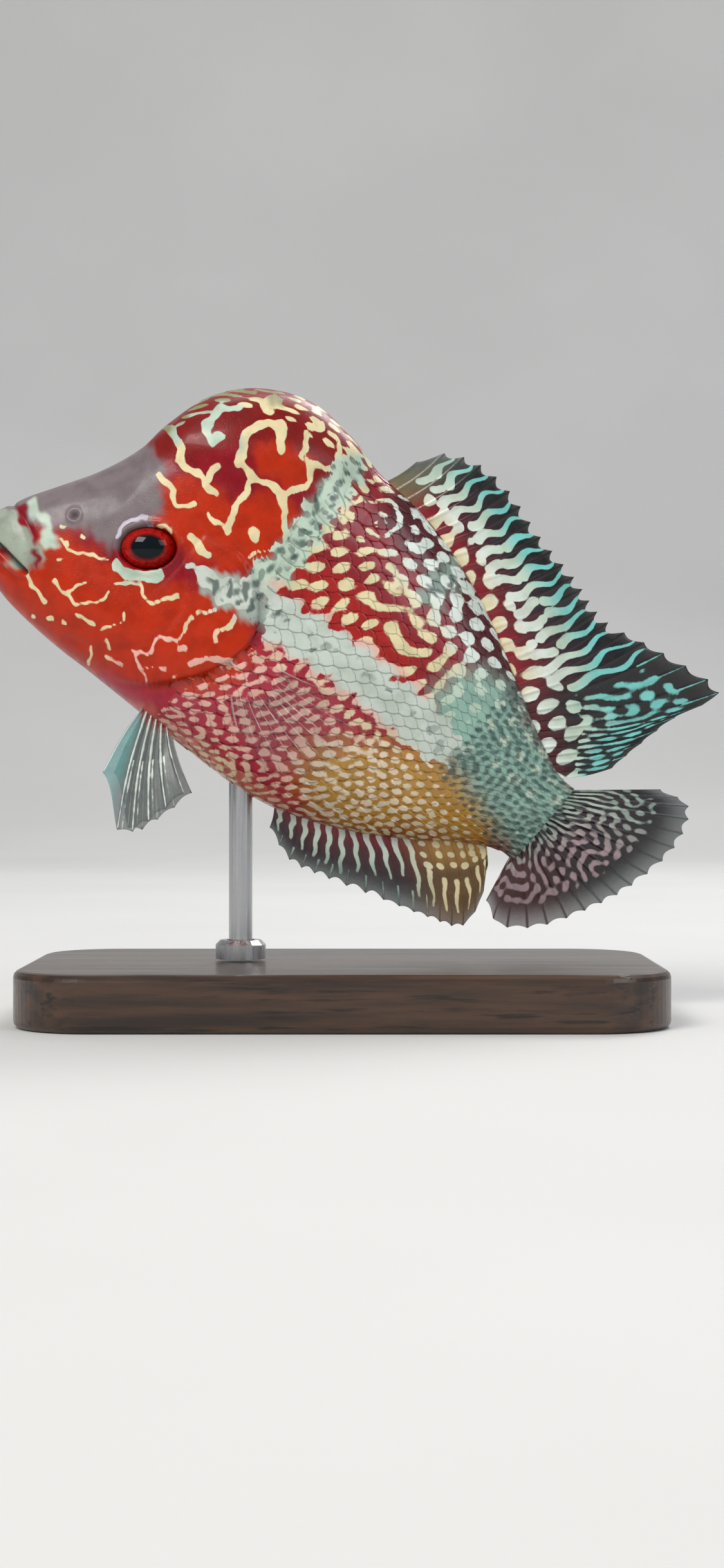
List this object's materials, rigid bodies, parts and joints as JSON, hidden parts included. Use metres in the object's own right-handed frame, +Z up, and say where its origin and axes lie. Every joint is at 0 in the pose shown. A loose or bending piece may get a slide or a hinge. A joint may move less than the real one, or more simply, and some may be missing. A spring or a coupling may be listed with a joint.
{
  "type": "flowerhorn cichlid model on a display stand",
  "caption": "Life-size young hump-headed cichlid held nose-up over a flat base by a short rod, with spread fins, a tall dorsal fin and a deep, compressed body.",
  "frame": {"origin": "centre of the stand base's underside, on the surface it stands on", "axes": "+Z up, the fish's head towards -X and its tail towards +X, its left flank facing -Y"},
  "size_m": [0.096, 0.046, 0.0798],
  "materials": {
    "skin": "moist fish skin, glossy, red to pink with mint and cream markings",
    "fin": "thin fin membrane, satin, dark maroon to smoky with pale rays",
    "clear_fin": "thin see-through fin membrane, satin, with pale rays",
    "eye": "wet eye, mirror gloss, red iris round a black pupil",
    "base_wood": "dark walnut, satin varnish",
    "rod_steel": "brushed steel"
  },
  "bodies": {
    "root": {"head": "skin", "lower_jaw": "skin", "nuchal_hump": "skin", "torso": "skin", "tail_stalk": "skin", "gill_cover_left": "skin", "gill_cover_right": "skin", "eye_left": "eye", "eye_right": "eye", "dorsal_fin": "fin", "anal_fin": "fin", "caudal_fin": "fin", "pectoral_fin_left": "clear_fin", "pectoral_fin_right": "clear_fin", "pelvic_fin_left": "clear_fin", "pelvic_fin_right": "clear_fin", "stand_base": "base_wood", "stand_rod": "rod_steel", "stand_collar": "rod_steel"}
  },
  "joints": []
}
